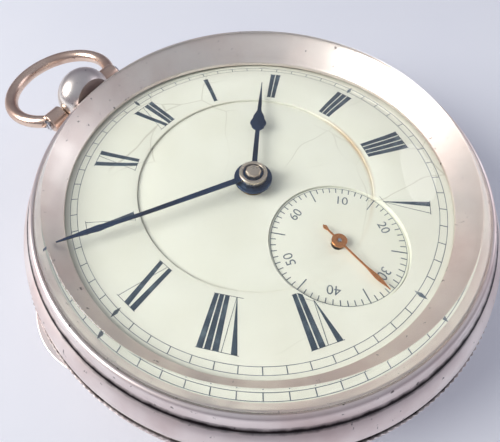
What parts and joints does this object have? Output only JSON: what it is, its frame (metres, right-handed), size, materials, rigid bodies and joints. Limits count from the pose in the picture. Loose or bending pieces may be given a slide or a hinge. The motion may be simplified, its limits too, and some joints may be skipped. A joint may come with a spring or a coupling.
{
  "type": "pocket watch",
  "caption": "Open-face key-wound pocket watch: round silver case with hinged bezel, back and inner cover, ball pendant and bow, sunk enamel dial, spade hands, lever movement.",
  "frame": {"origin": "centre of the small flat on the back cover, on the axis of the case and of the centre arbor", "axes": "+Z out of the dial through the glass, +Y from the case to the pendant and bow, +X to the cover hinges"},
  "size_m": [0.0528, 0.0649, 0.0151],
  "materials": {
    "silver": "worn satin silver",
    "crystal_glass": "clear bevelled glass",
    "enamel": "glossy cream enamel with fine hairlines",
    "blued_steel": "blued and polished",
    "polished_steel": "polished",
    "gilt_brass": "frosted gilt",
    "brass": "polished",
    "copper": "copper gilt",
    "ruby": "polished jewel"
  },
  "bodies": {
    "case": {"case_band": "silver", "back_hinge_pin": "polished_steel", "bezel_hinge_pin": "polished_steel", "pendant": "silver", "bow_screw_left": "polished_steel", "bow_screw_right": "polished_steel", "dial_ring": "enamel", "dial_centre": "enamel", "dial_seconds": "enamel", "minute_wheel_post": "polished_steel", "main_plate": "gilt_brass", "three_quarter_plate": "gilt_brass", "pillar_1": "gilt_brass", "pillar_2": "gilt_brass", "pillar_3": "gilt_brass", "pillar_4": "gilt_brass", "plate_screw_1": "blued_steel", "plate_screw_2": "blued_steel", "plate_screw_3": "blued_steel", "plate_screw_4": "blued_steel", "case_screw_1": "blued_steel", "case_screw_2": "blued_steel", "click_spring": "polished_steel", "click_screw": "blued_steel", "pallet_cock": "gilt_brass", "balance_cock": "gilt_brass", "cock_screw": "blued_steel", "cap_jewel": "ruby"},
    "bow": {"bow": "silver"},
    "bezel": {"bezel": "silver", "crystal": "crystal_glass"},
    "back_cover": {"back_cover": "silver"},
    "inner_cover": {"inner_cover": "silver"},
    "fourth": {"fourth_arbor": "polished_steel", "fourth_wheel": "brass", "seconds_hand": "copper"},
    "centre": {"centre_arbor": "polished_steel", "centre_wheel": "brass", "cannon_pinion": "polished_steel", "minute_hand": "blued_steel"},
    "third": {"third_arbor": "polished_steel", "third_wheel": "brass"},
    "escape": {"escape_arbor": "polished_steel", "escape_wheel": "brass"},
    "barrel": {"barrel": "brass", "barrel_cover": "brass", "mainspring": "blued_steel"},
    "hour": {"hour_wheel": "brass", "hour_hand": "blued_steel"},
    "minute_wheel": {"minute_wheel": "brass"},
    "winding": {"barrel_arbor": "polished_steel", "ratchet_wheel": "polished_steel"},
    "click": {"click": "polished_steel"},
    "balance": {"balance_staff": "polished_steel", "balance_wheel": "brass", "hairspring": "blued_steel"},
    "lever": {"pallet_lever": "polished_steel", "pallet_arbor": "polished_steel"},
    "regulator": {"regulator": "polished_steel"}
  },
  "joints": [
    {"name": "bow_swing", "type": "hinge", "parent": "case", "child": "bow", "pos_m": [0, 0.0269, 0.01045], "axis": [1, 0, 0], "range_deg": [-80, 90]},
    {"name": "bezel_hinge", "type": "hinge", "parent": "case", "child": "bezel", "pos_m": [0.0249, 0, 0.0117], "axis": [0, 1, 0], "range_deg": [0, 100]},
    {"name": "back_cover_hinge", "type": "hinge", "parent": "case", "child": "back_cover", "pos_m": [0.0262, 0, 0.00858], "axis": [0, -1, 0], "range_deg": [0, 100]},
    {"name": "inner_cover_hinge", "type": "hinge", "parent": "case", "child": "inner_cover", "pos_m": [0.0262, 0, 0.00858], "axis": [0, -1, 0], "range_deg": [0, 80]},
    {"name": "seconds_turn", "type": "hinge", "parent": "case", "child": "fourth", "pos_m": [-0.00139, -0.01099, 0.006], "axis": [0, 0, -1], "continuous": true},
    {"name": "centre_turn", "type": "hinge", "parent": "case", "child": "centre", "pos_m": [0, 0, 0.007], "axis": [0, 0, -1], "continuous": true},
    {"name": "third_turn", "type": "hinge", "parent": "case", "child": "third", "pos_m": [-0.00279, -0.00565, 0.006], "axis": [0, 0, -1], "continuous": true},
    {"name": "escape_turn", "type": "hinge", "parent": "case", "child": "escape", "pos_m": [0.00298, -0.01308, 0.007], "axis": [0, 0, -1], "continuous": true},
    {"name": "barrel_turn", "type": "hinge", "parent": "case", "child": "barrel", "pos_m": [-0.00488, 0.00757, 0.006], "axis": [0, 0, -1], "continuous": true},
    {"name": "hour_turn", "type": "hinge", "parent": "case", "child": "hour", "pos_m": [0, 0, 0.01], "axis": [0, 0, -1], "continuous": true},
    {"name": "minute_wheel_turn", "type": "hinge", "parent": "case", "child": "minute_wheel", "pos_m": [0.00354, 0.00187, 0.0092], "axis": [0, 0, -1], "continuous": true},
    {"name": "winding_turn", "type": "hinge", "parent": "case", "child": "winding", "pos_m": [-0.00488, 0.00757, 0.004], "axis": [0, 0, -1], "continuous": true},
    {"name": "click_lift", "type": "hinge", "parent": "case", "child": "click", "pos_m": [-0.00983, 0.00598, 0.004], "axis": [0, 0, -1], "range_deg": [0, 8], "stiffness_Nm_per_rad": 0.0002},
    {"name": "balance_swing", "type": "hinge", "parent": "case", "child": "balance", "pos_m": [0.00947, -0.00644, 0.005], "axis": [0, 0, 1], "range_deg": [-225, 225], "stiffness_Nm_per_rad": 0.0000014},
    {"name": "lever_rock", "type": "hinge", "parent": "case", "child": "lever", "pos_m": [0.00556, -0.01043, 0.007], "axis": [0, 0, 1], "range_deg": [-5, 5]},
    {"name": "regulator_index", "type": "hinge", "parent": "case", "child": "regulator", "pos_m": [0.00947, -0.00644, 0.0033], "axis": [0, 0, 1], "range_deg": [-20, 20]}
  ],
  "couplings": [
    {"joint": "inner_cover_hinge", "follows": "back_cover_hinge", "ratio": 0.8},
    {"joint": "centre_turn", "follows": "seconds_turn", "ratio": 0.016667},
    {"joint": "third_turn", "follows": "seconds_turn", "ratio": -0.13333},
    {"joint": "escape_turn", "follows": "seconds_turn", "ratio": -10},
    {"joint": "barrel_turn", "follows": "seconds_turn", "ratio": -0.0025641},
    {"joint": "minute_wheel_turn", "follows": "seconds_turn", "ratio": -0.0055556},
    {"joint": "hour_turn", "follows": "seconds_turn", "ratio": 0.0013889},
    {"joint": "lever_rock", "follows": "balance_swing", "ratio": -0.022222}
  ]
}
